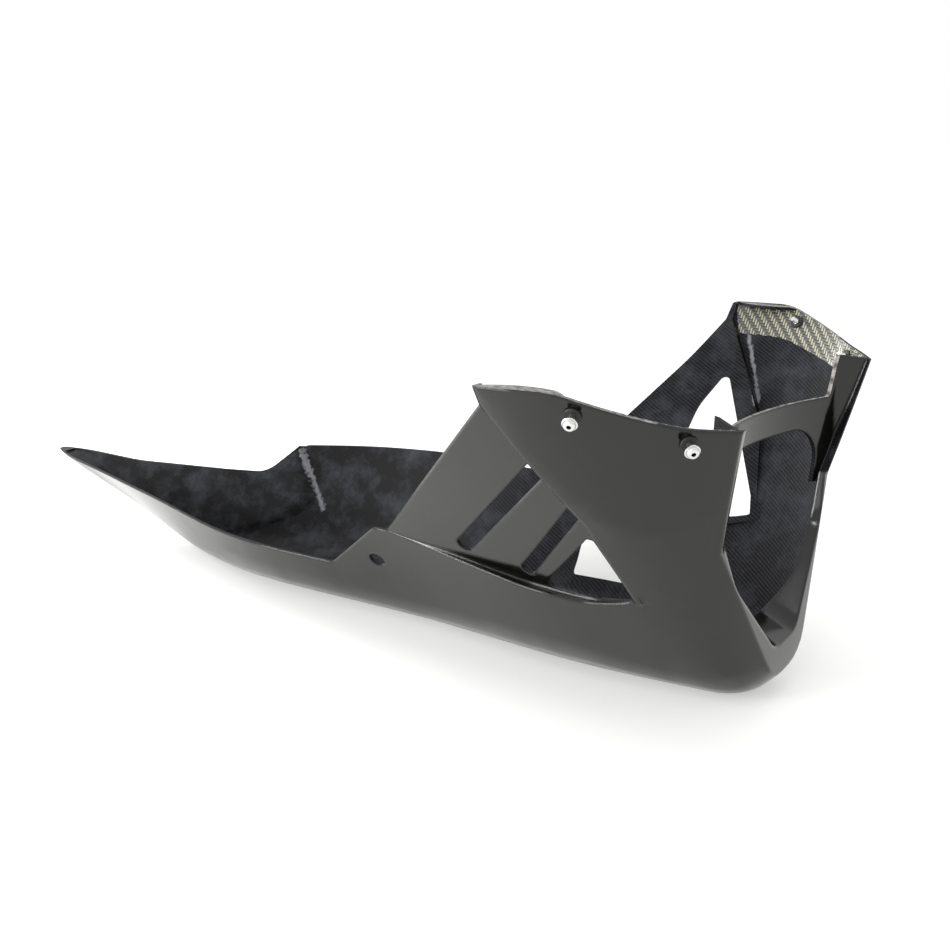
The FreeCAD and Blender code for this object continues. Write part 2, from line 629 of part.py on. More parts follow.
def web():
    """Upright web across the front: a bow between the feet of the two leading flanges."""
    half = size("flange_half")
    bow = size("bridge_bow")
    slope = size("flange_slope")
    radius = (half ** 2 + bow ** 2) / (2 * bow)
    foot_x = LEAD_X - size("flange_back")
    centre = Vector(foot_x - bow + radius, 0, 0)
    run = 2 * size("flange_back")
    normal = Vector(-slope, 1, 0).normalize() * WALL
    foot = Vector(foot_x, half, 0)
    end = foot + Vector(run, slope * run, 0)
    back_foot = centre + (foot - centre) * ((radius + WALL) / radius)

    def flip(point):
        return Vector(point.x, -point.y, point.z)

    edges = [
        Part.makeLine(flip(end), flip(foot)),
        Part.Arc(flip(foot), Vector(foot_x - bow, 0, 0), foot).toShape(),
        Part.makeLine(foot, end),
        Part.makeLine(end, end + normal),
        Part.makeLine(end + normal, back_foot),
        Part.Arc(back_foot, Vector(foot_x - bow - WALL, 0, 0), flip(back_foot)).toShape(),
        Part.makeLine(flip(back_foot), flip(end + normal)),
        Part.makeLine(flip(end + normal), flip(end)),
    ]
    base = Part.Face(Part.Wire(edges))
    base.translate(Vector(0, 0, size("kink_height") - size("web_lap")))
    body = base.extrude(Vector(0, 0, HIGH - size("kink_height")))
    low = size("bridge_low")
    high = size("bridge_high")
    lean = size("tab_lean")
    spread = size("mouth_half") + size("bridge_spread")
    foot_z = size("kink_height") - size("mouth_rise")
    under = [
        (spread, low, size("bridge_round")),
        (-spread, low, size("bridge_round")),
        (-size("mouth_half"), foot_z, 0),
        (size("mouth_half"), foot_z, 0),
    ]
    tab = half - lean * (size("lead_height") - high)
    top = half + lean * (HIGH - size("lead_height"))
    corner = size("tab_round")
    over = [(-tab, high, corner), (tab, high, corner), (top, HIGH, 0), (-top, HIGH, 0)]
    through = Vector(2 * WIDE, 0, 0)
    return body.cut([front_prism(under, 0.0, through), front_prism(over, 0.0, through)])


def turned_corner():
    """Crescent turned in along the rear end of the right panel's top edge."""
    height = size("corner_height")
    run = size("corner_turn")
    rear = Vector(CORNER_X, -panel_y(CORNER_X, height), height - WALL)
    fore = Vector(CORNER_X + run, -panel_y(CORNER_X + run, height), height - WALL)
    inner = (rear + fore) / 2 + Vector(0, size("corner_inset"), 0)
    edges = [Part.Arc(rear, inner, fore).toShape(), Part.makeLine(fore, rear)]
    return Part.Face(Part.Wire(edges)).extrude(Vector(0, 0, WALL))


def screw_seats():
    """Placements of the screws: outer face of the panel, with Z along the outward normal."""
    radius = size("panel_radius")
    seats = []
    for prefix, edge in (("screw", "crown"), ("lead_screw", "lead")):
        x = LEAD_X - size(prefix + "_back")
        z = size(edge + "_height") - size(prefix + "_drop")
        past = max(0.0, x - CORNER_X - size("panel_turn"))
        slope = past / math.sqrt(radius ** 2 - past ** 2)
        for side in (-1, 1):
            outward = Vector(slope, side, -size("panel_flare")).normalize()
            point = Vector(x, side * panel_y(x, z), z)
            seats.append(Placement(point, Rotation(Vector(0, 0, 1), outward)))
    return seats


def drilled(shape):
    """Drills the holes for the grommets."""
    drills = []
    for seat in screw_seats():
        drill = Part.makeCylinder(size("grommet_bore") / 2, 2 * CUT_REACH, Vector(0, 0, -CUT_REACH))
        drill.Placement = seat
        drills.append(drill)
    return shape.cut(drills)


def below_kink():
    """Everything below the top of the lip."""
    top = size("kink_height") + WALL
    return Part.makeBox(4 * WIDE, 4 * WIDE, 4 * WIDE, Vector(-2 * WIDE, -2 * WIDE, top - 4 * WIDE))


def behind_lip():
    """Everything behind the lip's free edge, which is narrow at the sides and widens along the floor."""
    floor_x = KINK_X + size("chin_rake") - size("lip_depth")
    return side_prism([
        (KINK_X - size("lip_head"), HIGH, 0),
        (KINK_X - size("lip_head"), size("kink_height"), 0),
        (KINK_X - size("lip_waist"), size("mouth_floor") + size("lip_waist_rise"), size("lip_waist_round")),
        (floor_x, size("mouth_floor"), 0),
        (floor_x, 0, 0),
        (-WIDE, 0, 0),
        (-WIDE, HIGH, 0),
    ])


def shell_shape():
    """The moulded shell: the filled body hollowed, with its lip, web and turned corners, then cut through."""
    outer = trimmed(filled(0.0).cut(side_prism(nose(0.0, False))))
    inner = filled(WALL).cut(side_prism(nose(WALL, True))).common(block_ahead(TIP_X + size("tip_solid")))
    lip = mouth(WALL, LIP_START, 1.0).common(below_kink())
    corner = turned_corner()
    added = [piece.common(outer) for piece in (lip.cut(behind_lip()), web(), corner, mirrored(corner))]
    shape = outer.cut(inner).fuse(added)
    opening = mouth(0.0, -MOUTH_THROUGH, MOUTH_THROUGH).common(below_kink())
    return drilled(shape.cut(slots() + [drain(), opening])).Solids[0]


def ply_shapes(shell):
    """The right and left plies bonded inside the upper panels, cut to fit round the shell."""
    low = size("crown_height") - size("ply_drop")
    fore = size("lead_height") - size("ply_fore_drop")
    band = side_prism([
        (CORNER_X, low, 0),
        (CORNER_X + size("crown_run"), low, size("ply_round")),
        (LEAD_X, fore, 0),
        (LEAD_X, HIGH, 0),
        (CORNER_X, HIGH, 0),
    ])
    bed = WALL + size("bond")
    skin = panel_solid(bed).cut(panel_solid(bed + size("ply")))
    skin = skin.common(band).common(ahead_of_crease(-CREASE_SLIP * WALL - size("ply_land")))
    skin = trimmed(skin.cut([side_prism(nose(0.0, False)), shell]))
    solids = sorted(drilled(skin).Solids, key=lambda solid: solid.Volume)[-2:]
    return sorted(solids, key=lambda solid: solid.CenterOfMass.y)


def label_shape():
    """Blank label on the inner face of the left side of the hull."""
    x = CHEEK_X - size("label_back")
    low = size("label_low")
    end = x + size("label_length")
    high = low + size("label_rise")
    outline = [(x, low), (end, low), (end, high), (x, high)]
    patch = side_prism([corner + (size("label_round"),) for corner in outline], 0.0, WIDE)
    bed = WALL + size("bond")
    return hull_solid(bed).common(patch).cut(hull_solid(bed + size("label"))).Solids[0]


def bound_outline(sketch, corners):
    """Closed outline in a sketch through corners of two sheet formulas each, None for one on an axis."""
    count = len(corners)
    for index in range(count):
        start = Vector(index + 1, index + 1, 0)
        end = Vector((index + 1) % count + 1, (index + 1) % count + 1, 0)
        sketch.addGeometry(Part.LineSegment(start, end), False)
    for index in range(count):
        sketch.addConstraint(Sketcher.Constraint("Coincident", index, 2, (index + 1) % count, 1))
    for index, (across, up) in enumerate(corners):
        for kind, formula, axis in (("DistanceX", across, -2), ("DistanceY", up, -1)):
            if formula is None:
                sketch.addConstraint(Sketcher.Constraint("PointOnObject", index, 1, axis))
                continue
            number = sketch.addConstraint(Sketcher.Constraint(kind, -1, 1, index, 1, index + 1.0))
            sketch.setExpression(f"Constraints[{number}]", formula)


def turned(name, corners):
    """Body turned about Z from a half outline."""
    body = doc.addObject("PartDesign::Body", name)
    sketch = body.newObject("Sketcher::SketchObject", name + "_outline")
    plane = next(item for item in body.Origin.OriginFeatures if item.Role == "XZ_Plane")
    sketch.AttachmentSupport = [(plane, "")]
    sketch.MapMode = "FlatFace"
    bound_outline(sketch, corners)
    turn = body.newObject("PartDesign::Revolution", name + "_turn")
    turn.Profile = sketch
    turn.ReferenceAxis = (sketch, ["V_Axis"])
    turn.Angle = 360.0
    doc.recompute()
    return body


def screw_body():
    """Button-head screw standing on its tip, with a hexagon socket."""
    under = "Sizes.screw_tip + Sizes.screw_reach"
    collar = under + " + Sizes.collar_height"
    top = collar + " + Sizes.head_height"
    body = turned("screw_blank", [
        (None, None),
        ("Sizes.thread_bore / 2", None),
        ("Sizes.thread_bore / 2", "Sizes.thread_length"),
        ("Sizes.shank_bore / 2", "Sizes.thread_length"),
        ("Sizes.shank_bore / 2", under),
        ("Sizes.collar_bore / 2", under),
        ("Sizes.collar_bore / 2", collar),
        ("Sizes.head_base / 2", collar),
        ("Sizes.head_crown / 2", top),
        (None, top),
    ])
    socket = doc.addObject("Part::Prism", "socket")
    socket.Polygon = 6
    socket.setExpression("Circumradius", "Sizes.socket_across / 2")
    socket.setExpression("Height", "2 * Sizes.socket_deep")
    socket.setExpression("Placement.Base.z", top + " - Sizes.socket_deep")
    screw = doc.addObject("Part::Cut", "screw")
    screw.Base = body
    screw.Tool = socket
    return screw


def grommet_body():
    """Rubber grommet standing on its inner flange."""
    bore = "Sizes.shank_bore / 2 + Sizes.fit_gap"
    neck = "Sizes.grommet_bore / 2 - Sizes.fit_gap"
    flange = "Sizes.grommet_flange / 2"
    seat = "Sizes.grommet_lip + Sizes.wall + Sizes.bond + Sizes.ply + Sizes.bed_gap"
    return turned("grommet", [
        (bore, None),
        (flange, None),
        (flange, "Sizes.grommet_lip"),
        (neck, "Sizes.grommet_lip"),
        (neck, seat),
        (flange, seat),
        (flange, seat + " + Sizes.grommet_lip"),
        (bore, seat + " + Sizes.grommet_lip"),
    ])


def at_seats(shape, below):
    """A copy of a fixing at each screw seat, its base a set depth below the panel's outer face."""
    copies = []
    for seat in screw_seats():
        copy = shape.copy()
        copy.Placement = seat * Placement(Vector(0, 0, -below), Rotation())
        copies.append(copy)
    return Part.makeCompound(copies)


def add_node(name, shape):
    node = doc.addObject("Part::Feature", name)
    node.Label = name
    node.Shape = shape
    return node


screw = screw_body()
grommet = grommet_body()
doc.recompute()
shell = shell_shape()
right_ply, left_ply = ply_shapes(shell)
grommet_depth = size("grommet_lip") + WALL + size("bond") + size("ply") + size("bed_gap")
nodes = [
    add_node("fairing_shell", shell),
    add_node("fixing_screws", at_seats(screw.Shape, size("screw_tip"))),
    add_node("rubber_grommets", at_seats(grommet.Shape, grommet_depth)),
    add_node("right_ply", right_ply),
    add_node("left_ply", left_ply),
    add_node("blank_label", label_shape()),
]
doc.recompute()

for item in doc.Objects:
    if "Invalid" in item.State or "Error" in item.State:
        raise RuntimeError(f"{item.Name} did not build: {item.State}")
for node in nodes:
    if node.Shape.isNull() or not node.Shape.isValid():
        raise RuntimeError(f"{node.Label} has no valid shape")

os.makedirs("parts", exist_ok=True)
for node in nodes:
    node.Shape.exportStep(f"parts/{node.Label}.step")
    print(node.Label, len(node.Shape.Solids), round(node.Shape.Volume))
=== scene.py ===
import json
import math

import bmesh
import bpy
from mathutils import Matrix, Vector
from mathutils.bvhtree import BVHTree


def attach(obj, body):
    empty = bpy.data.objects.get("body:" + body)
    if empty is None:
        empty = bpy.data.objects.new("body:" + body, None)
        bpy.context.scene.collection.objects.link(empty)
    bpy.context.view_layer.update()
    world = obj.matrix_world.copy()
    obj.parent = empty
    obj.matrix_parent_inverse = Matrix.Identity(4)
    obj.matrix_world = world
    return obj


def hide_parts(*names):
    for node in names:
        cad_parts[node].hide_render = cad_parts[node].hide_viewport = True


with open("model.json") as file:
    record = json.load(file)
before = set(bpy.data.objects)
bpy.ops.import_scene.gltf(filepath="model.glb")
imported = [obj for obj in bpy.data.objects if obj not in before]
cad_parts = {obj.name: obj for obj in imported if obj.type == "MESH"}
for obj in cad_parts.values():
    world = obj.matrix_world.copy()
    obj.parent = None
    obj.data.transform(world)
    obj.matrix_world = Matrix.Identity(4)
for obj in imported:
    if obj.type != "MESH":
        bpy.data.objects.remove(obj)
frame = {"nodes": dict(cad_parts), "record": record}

bl_info = {
    "name": "Lower fairing",
    "version": (1, 0, 0),
    "blender": (4, 5, 0),
    "location": "View3D > Sidebar > Fairing",
    "description": "Dresses the moulded lower fairing: gloss shell, bare twill inside, plies and fixings",
    "category": "Object",
}

# Material slots of the shell
GLOSS, CARBON, LIT_EDGE = range(3)

# Metres within which vertices are merged, and how far under a face a ray through the wall starts
WELD = 1e-6
RAY_START = 1e-5

# Bends sharper than these stay creases, on the moulded and on the turned pieces
MOULDED_CREASE = math.radians(24.0)
TURNED_CREASE = math.radians(32.0)

# Share of a patch's area that has to be thin, or to look up, for the patch to count as such
PATCH_SHARE = 1 / 3

# A face of a turned corner looks up where its normal rises more than this, and is then painted pale as lit
# from above
LOOKS_UP = 0.75

# Facets round the turned pieces, and steps up the round of a screw's head
SCREW_FACETS = 24
GROMMET_FACETS = 32
HEAD_STEPS = 5

# Depth of a thread as a share of its pitch
THREAD_DEPTH = 0.6

# Strength of the floor's glow, where 1 is white
FLOOR_GLOW = 0.4

# Lamps of the studio: name, place, aim, width in metres and power in watts
LAMPS = (
    ("key", (-1.0, -1.9, 0.5), (0.2, -0.1, 0.1), 0.8, 40.0),
    ("front", (0.1, -1.9, 1.5), (0.2, -0.2, 0.0), 1.2, 9.0),
    ("strip", (3.17, -4.23, 10.9), (0.41, 0.09, 0.12), 0.5, 16.0),
    ("tail", (-1.1, 0.1, 0.5), (-0.35, 0.0, 0.0), 0.5, 14.0),
)

# Camera fitted to the photograph: place in metres, pitch, yaw, and lens and sensor in millimetres
CAMERA_PLACE = (0.6833, -0.8435, 0.4279)
CAMERA_PITCH = math.radians(73.777)
CAMERA_YAW = math.radians(33.0055)
CAMERA_LENS = 44.69
CAMERA_SENSOR = 36.0


def linear(code):
    """Linear colour with alpha from a hex sRGB code."""
    channels = [int(code[place:place + 2], 16) / 255 for place in (1, 3, 5)]
    return [c / 12.92 if c <= 0.04045 else ((c + 0.055) / 1.055) ** 2.4 for c in channels] + [1.0]


def length(name, description, default):
    """Length property in metres."""
    return bpy.props.FloatProperty(
        name=name, description=description, default=default, unit="LENGTH", precision=5)


def spot(name, description, default, subtype="TRANSLATION"):
    """Property of a place in metres, or of a direction."""
    return bpy.props.FloatVectorProperty(
        name=name, description=description, size=3, subtype=subtype, default=default, precision=4)


def colour(name, description, code):
    """Colour property from a hex sRGB code."""
    return bpy.props.FloatVectorProperty(
        name=name, description=description, size=4, subtype="COLOR", min=0.0, max=1.0, default=linear(code))


class FairingSizes(bpy.types.PropertyGroup):
    # Finishes of the shell
    skin: length("Skin", "Laminate thicker than this is seen end on, as a cut edge", 0.0042)
    above: length("Inside point height", "Height of the point that the inner skin looks towards", 0.30)
    ahead: length("Inside point place", "Place along X of the point that the inner skin looks towards", 0.15)
    tip: length("Tail tip", "The solid tail tip lies behind this place along X", -0.412)
    lip: length("Lip", "The lip of the front opening lies ahead of this place along X", 0.388)
    kink: length("Kink", "The lip of the front opening ends at this height", 0.1546)
    panel: length("Panels", "The side panels lie ahead of this place along X", 0.115)
    turned: length("Turned corners", "Upward faces above this height are turned corners", 0.255)
    ease: length("Ease", "Rounding of the gelcoat's edges", 0.004)

    # Raked step of the tray
    step_corner: spot("Step corner", "Foot of the raked step in the tray's left wall", (-0.108, 0.074, 0.036))
    step_top: spot("Step top", "Top of the raked step", (-0.145, 0.099, 0.094))
    step_toe: spot("Step toe", "End of the step across the tray's floor", (-0.159, 0.042, 0.002))
    wall_way: spot("Wall way", "Outward way of the tray's left wall", (-0.2, 0.84, -0.5), "DIRECTION")
    step_wide: length("Step width", "Width of the raked step", 0.005)
    step_deep: length("Step depth", "Depth of the raked step", 0.004)
    step_fade: length("Step end", "The inner skin is back in line behind this place along X", -0.27)

    # Pale strokes on the left inner skin, drawn in X and Z: a real squeezed-out seam, and a painted highlight
    # along the edge of the tray's raked step
    step_highlight_top: spot("Band top", "Top of the pale band on the tray's step", (-0.1475, 0.0, 0.0985))
    step_highlight_foot: spot("Band foot", "Foot of the pale band on the tray's step", (-0.102, 0.0, 0.041))
    step_highlight: length("Band", "Half the width of the pale band on the tray's step", 0.003)
    seam_top: spot("Seam top", "Top of the resin seam inside the left panel", (0.301, 0.0, 0.248))
    seam_foot: spot("Seam foot", "Foot of the resin seam inside the left panel", (0.3275, 0.0, 0.19))
    seam: length("Seam", "Half the width of the resin seam inside the left panel", 0.0022)

    # Patterns of the finishes
    carbon_tow: length("Carbon tow", "Width of a tow in the bare carbon twill", 0.0009)
    carbon_clear: length("Clear twill", "The bare twill shows in full ahead of this place along X", 0.14)
    carbon_turn: bpy.props.FloatProperty(
        name="Twill turn", description="Turn of the bare carbon twill", subtype="ANGLE",
        default=math.radians(18.0))
    hybrid_tow: length("Hybrid tow", "Width of a tow in the carbon and aramid twill", 0.0025)
    gel_wave: length("Gelcoat wave", "Span of the gelcoat's waves", 0.0455)
    gel_haze: length("Gelcoat haze", "Span of the hazy spots on the gelcoat", 0.0167)
    dust_cloud: length("Dust cloud", "Span of the dusty clouds on the bare twill", 0.0263)
    stroke_grit: length("Resin grit", "Span of the grit that frays the pale strokes", 0.00385)
    edge_grain: length("Edge grain", "Span of the grain in the sanded edges", 0.00417)
    tool_mark: length("Tool mark", "Span of the tool marks on the screws", 0.00111)
    socket_spot: length("Oil spot", "Span of the oil spots in the sockets", 0.00125)
    rubber_grain: length("Rubber grain", "Span of the grain on the grommets", 0.00083)
    paper_fibre: length("Paper fibre", "Span of the fibres in the label", 0.00143)

    # Screws, measured from the panels' outer face
    thread_middle: length("Thread middle", "Middle of the screws' threads behind the panel", 0.009)
    tip_end: length("Screw tip", "Screws' tips behind the panel", 0.012)
    thread_end: length("Thread end", "Inner ends of the screws' threads behind the panel", 0.006)
    thread_radius: length("Thread radius", "Radius over the threads", 0.0022)
    thread_pitch: length("Thread pitch", "Pitch of the threads", 0.0008)
    shank_radius: length("Shank radius", "Radius of the plain shanks", 0.0024)
    collar_under: length("Collar underside", "Underside of the screws' collars ahead of the panel", 0.0082)
    collar_radius: length("Collar radius", "Radius of the screws' collars", 0.0052)
    collar_height: length("Collar height", "Height of the screws' collars", 0.0011)
    head_radius: length("Head radius", "Radius of the screws' heads above the collar", 0.0043)
    crown_radius: length("Crown radius", "Radius of the flat on the screws' heads", 0.0028)
    head_height: length("Head height", "Height of the screws' heads above the collar", 0.0026)
    socket_radius: length("Socket", "Half the sockets' width across their corners", 0.0017)
    socket_deep: length("Socket depth", "Depth of the hexagon sockets", 0.0022)

    # Grommets
    flange_radius: length("Flange radius", "Radius of the grommets' flanges", 0.0058)
    flange_thick: length("Flange thickness", "Thickness of the grommets' flanges", 0.0016)
    neck_radius: length("Neck radius", "Radius of the grommets' necks", 0.0043)
    neck_length: length("Neck length", "Length of the grommets' necks", 0.00385)
    bore_radius: length("Bore radius", "Radius of the grommets' bores", 0.0025)

    # Stage
    floor_half: length("Floor", "Half the width of the studio floor", 20.0)
    floor_gap: length("Floor gap", "Gap between the part and the studio floor", 0.0005)


class FairingColours(bpy.types.PropertyGroup):
    gloss: colour("Gloss black", "Gelcoat of the outer skin", "#0d0d0b")
    carbon: colour("Bare carbon", "Tows of the inner skin", "#050506")
    carbon_glint: colour("Carbon glint", "Tows that catch the light", "#212226")
    dust: colour("Dust", "Dry resin and dust on the inner skin", "#35373c")
    # The seam's colour also paints the highlight along the tray's step, so it is partly real and partly
    # painted light
    resin: colour("Resin", "Squeezed-out resin of the seam and the band", "#8b8b90")
    # The cut edge colours go only where edges and turned corners look up, so their paleness is partly painted
    # light from above
    edge: colour("Cut edge", "Resin in the trimmed edge of the laminate", "#a5a19c")
    edge_fibre: colour("Cut fibre", "Fibre in the trimmed edge of the laminate", "#0d0d0b")
    aramid: colour("Aramid", "Aramid tows of the plies", "#a19f87")
    black_tow: colour("Black tow", "Carbon tows of the plies", "#4c4c44")
    tow_gap: colour("Tow gap", "Resin between the tows of the plies", "#161615")
    zinc: colour("Zinc", "Plating of the screws", "#dcdcd8")
    # The socket colour is painted shade for the hollow of the hexagon sockets
    socket_shade: colour("Oil", "Oil and dirt in the sockets", "#121212")
    rubber: colour("Rubber", "Grommets", "#121212")
    paper: colour("Paper", "Blank label", "#f3f3f1")
    floor: colour("Floor", "Studio floor", "#d2d2d0")


def add_node(tree, kind, values=(), **settings):
    """Adds a node with its settings and input values; a value that is a socket is linked."""
    node = tree.nodes.new(kind)
    for name, value in settings.items():
        setattr(node, name, value)
    for key, value in values:
        if isinstance(value, bpy.types.NodeSocket):
            tree.links.new(value, node.inputs[key])
        else:
            node.inputs[key].default_value = value
    return node


def new_material(name):
    """Material with an empty tree but for its shader and output."""
    material = bpy.data.materials.new(name)
    material.use_nodes = True
    tree = material.node_tree
    return material, tree, tree.nodes["Principled BSDF"]


def weave(tree, tow):
    """Mask of a two-by-two twill from the weave map in tows, and its relief."""
    uv = add_node(tree, "ShaderNodeUVMap", uv_map="weave")
    scaled = add_node(tree, "ShaderNodeVectorMath", (
        (0, uv.outputs[0]), (1, (1 / tow, 1 / tow, 0.0))), operation="MULTIPLY")
    cell = add_node(tree, "ShaderNodeVectorMath", ((0, scaled.outputs[0]),), operation="FLOOR")
    within = add_node(tree, "ShaderNodeVectorMath", ((0, scaled.outputs[0]),), operation="FRACTION")
    cells = add_node(tree, "ShaderNodeSeparateXYZ", ((0, cell.outputs[0]),))
    parts = add_node(tree, "ShaderNodeSeparateXYZ", ((0, within.outputs[0]),))
    # The twill repeats every four tows, and the warp lies on top in the first two
    total = add_node(tree, "ShaderNodeMath", (
        (0, cells.outputs[0]), (1, cells.outputs[1])), operation="ADD")
    phase = add_node(tree, "ShaderNodeMath", ((0, total.outputs[0]), (1, 4.0)), operation="FLOORED_MODULO")
    warp = add_node(tree, "ShaderNodeMath", ((0, phase.outputs[0]), (1, 1.5)), operation="LESS_THAN")
    across = add_node(tree, "ShaderNodeMix", (
        (0, warp.outputs[0]), (2, parts.outputs[1]), (3, parts.outputs[0])))
    turn = add_node(tree, "ShaderNodeMath", ((0, across.outputs[0]), (1, math.pi)), operation="MULTIPLY")
    relief = add_node(tree, "ShaderNodeMath", ((0, turn.outputs[0]),), operation="SINE")
    return warp.outputs[0], relief.outputs[0]


def stroke(tree, place, start, end, half, grit, strength):
    """Mask of a ragged straight stroke on the left side, between two places in X and Z."""
    run = Vector(end) - Vector(start)
    across = Vector((-run.z, 0.0, run.x)).normalized()
    # Grit moves the stroke's sides by up to the fray, and they fade from full to gone
    fray = 2.4 * half
    full = 1.4 * half
    gone = 2.2 * half
    shifted = add_node(tree, "ShaderNodeVectorMath", ((0, place), (1, start)), operation="SUBTRACT")
    along = add_node(tree, "ShaderNodeVectorMath", (
        (0, shifted.outputs[0]), (1, run / run.length_squared)), operation="DOT_PRODUCT")
    off = add_node(tree, "ShaderNodeVectorMath", (
        (0, shifted.outputs[0]), (1, across)), operation="DOT_PRODUCT")
    near = add_node(tree, "ShaderNodeMath", ((0, off.outputs["Value"]),), operation="ABSOLUTE")
    grain = add_node(tree, "ShaderNodeTexNoise", (("Vector", place), ("Scale", 1 / grit), ("Detail", 2.0)))
    ragged = add_node(tree, "ShaderNodeMath", (
        (0, grain.outputs["Fac"]), (1, fray), (2, near.outputs[0])), operation="MULTIPLY_ADD")
    within = add_node(tree, "ShaderNodeMapRange", (
        ("Value", ragged.outputs[0]), ("From Min", full), ("From Max", gone),
        ("To Min", strength), ("To Max", 0.0)))
    ended = add_node(tree, "ShaderNodeMath", (
        (0, along.outputs["Value"]), (1, 0.5), (2, 0.5)), operation="COMPARE")
    sides = add_node(tree, "ShaderNodeSeparateXYZ", ((0, place),))
    left = add_node(tree, "ShaderNodeMath", ((0, sides.outputs["Y"]), (1, 0.0)), operation="GREATER_THAN")
    there = add_node(tree, "ShaderNodeMath", (
        (0, ended.outputs[0]), (1, left.outputs[0])), operation="MULTIPLY")
    mask = add_node(tree, "ShaderNodeMath", (
        (0, there.outputs[0]), (1, within.outputs[0])), operation="MULTIPLY")
    return mask.outputs[0]


def gloss_black(colours, sizes):
    """Gloss black gelcoat, moulded against a polished tool, faintly wavy from the laminate under it."""
    material, tree, shader = new_material("gloss_black_gelcoat")
    place = add_node(tree, "ShaderNodeTexCoord").outputs["Object"]
    wave = add_node(tree, "ShaderNodeTexNoise", (
        ("Vector", place), ("Scale", 1 / sizes.gel_wave), ("Detail", 1.0)))
    haze = add_node(tree, "ShaderNodeTexNoise", (
        ("Vector", place), ("Scale", 1 / sizes.gel_haze), ("Detail", 4.0)))
    rough = add_node(tree, "ShaderNodeMapRange", (
        ("Value", haze.outputs["Fac"]), ("To Min", 0.08), ("To Max", 0.14)))
    # Moulded edges are rounded by their shading
    eased = add_node(tree, "ShaderNodeBevel", (("Radius", sizes.ease),), samples=6)
    bump = add_node(tree, "ShaderNodeBump", (
        ("Normal", eased.outputs[0]), ("Height", wave.outputs["Fac"]),
        ("Strength", 0.05), ("Distance", 0.004)))
    shader.inputs["Base Color"].default_value = colours.gloss
    tree.links.new(rough.outputs[0], shader.inputs["Roughness"])
    tree.links.new(bump.outputs[0], shader.inputs["Normal"])
    return material


def bare_carbon(colours, sizes):
    """Bare carbon twill on the inside, wet laid and left as it came off the bag, with dry resin and dust."""
    material, tree, shader = new_material("bare_carbon_twill")
    place = add_node(tree, "ShaderNodeTexCoord").outputs["Object"]
    # The painted glint on the top tows, and their relief, fade towards the tray
    mask, relief = weave(tree, sizes.carbon_tow)
    spread = add_node(tree, "ShaderNodeSeparateXYZ", ((0, place),))
    clear = add_node(tree, "ShaderNodeMapRange", (
        ("Value", spread.outputs["X"]), ("From Min", 0.0), ("From Max", sizes.carbon_clear),
        ("To Min", 0.2), ("To Max", 1.0)))
    glint = add_node(tree, "ShaderNodeMath", ((0, mask), (1, clear.outputs[0])), operation="MULTIPLY")
    height = add_node(tree, "ShaderNodeMath", ((0, relief), (1, clear.outputs[0])), operation="MULTIPLY")
    tows = add_node(tree, "ShaderNodeMix", (
        ("Factor", glint.outputs[0]), ("A", colours.carbon), ("B", colours.carbon_glint)), data_type="RGBA")
    cloud = add_node(tree, "ShaderNodeTexNoise", (
        ("Vector", place), ("Scale", 1 / sizes.dust_cloud), ("Detail", 7.0), ("Roughness", 0.68)))
    patch = add_node(tree, "ShaderNodeMapRange", (
        ("Value", cloud.outputs["Fac"]), ("From Min", 0.46), ("From Max", 0.72), ("To Max", 0.85)))
    dusty = add_node(tree, "ShaderNodeMix", (
        ("Factor", patch.outputs[0]), ("A", tows.outputs["Result"]), ("B", colours.dust)), data_type="RGBA")
    seam = stroke(tree, place, sizes.seam_top, sizes.seam_foot, sizes.seam, sizes.stroke_grit, strength=0.7)
    # This stroke is a painted highlight along the edge of the tray's raked step
    step_highlight = stroke(tree, place, sizes.step_highlight_top, sizes.step_highlight_foot, sizes.step_highlight, sizes.stroke_grit, strength=0.5)
    pale = add_node(tree, "ShaderNodeMath", ((0, seam), (1, step_highlight)), operation="MAXIMUM")
    # The real seam and the painted highlight share one pale colour
    seam_and_highlight = add_node(tree, "ShaderNodeMix", (
        ("Factor", pale.outputs[0]), ("A", dusty.outputs["Result"]), ("B", colours.resin)), data_type="RGBA")
    rough = add_node(tree, "ShaderNodeMapRange", (
        ("Value", cloud.outputs["Fac"]), ("To Min", 0.35), ("To Max", 0.65)))
    bump = add_node(tree, "ShaderNodeBump", (
        ("Height", height.outputs[0]), ("Strength", 0.35), ("Distance", 0.0003)))
    # Dry, dusty fibre mirrors little
    shader.inputs["Specular IOR Level"].default_value = 0.1
    tree.links.new(seam_and_highlight.outputs["Result"], shader.inputs["Base Color"])
    tree.links.new(rough.outputs[0], shader.inputs["Roughness"])
    tree.links.new(bump.outputs[0], shader.inputs["Normal"])
    return material


def lit_cut_edge(colours, sizes):
    """Trimmed laminate edge, sawn and sanded, so the resin shows pale between the fibres; as it is put only
    where edges look up, its paleness is also painted light from above.
    """
    material, tree, shader = new_material("sanded_edge_painted_lit")
    place = add_node(tree, "ShaderNodeTexCoord").outputs["Object"]
    grain = add_node(tree, "ShaderNodeTexNoise", (
        ("Vector", place), ("Scale", 1 / sizes.edge_grain), ("Detail", 3.0)))
    tone = add_node(tree, "ShaderNodeMapRange", (
        ("Value", grain.outputs["Fac"]), ("From Min", 0.3), ("From Max", 0.7)))
    mixed = add_node(tree, "ShaderNodeMix", (
        ("Factor", tone.outputs[0]), ("A", colours.edge_fibre), ("B", colours.edge)), data_type="RGBA")
    shader.inputs["Roughness"].default_value = 0.45
    tree.links.new(mixed.outputs["Result"], shader.inputs["Base Color"])
    return material


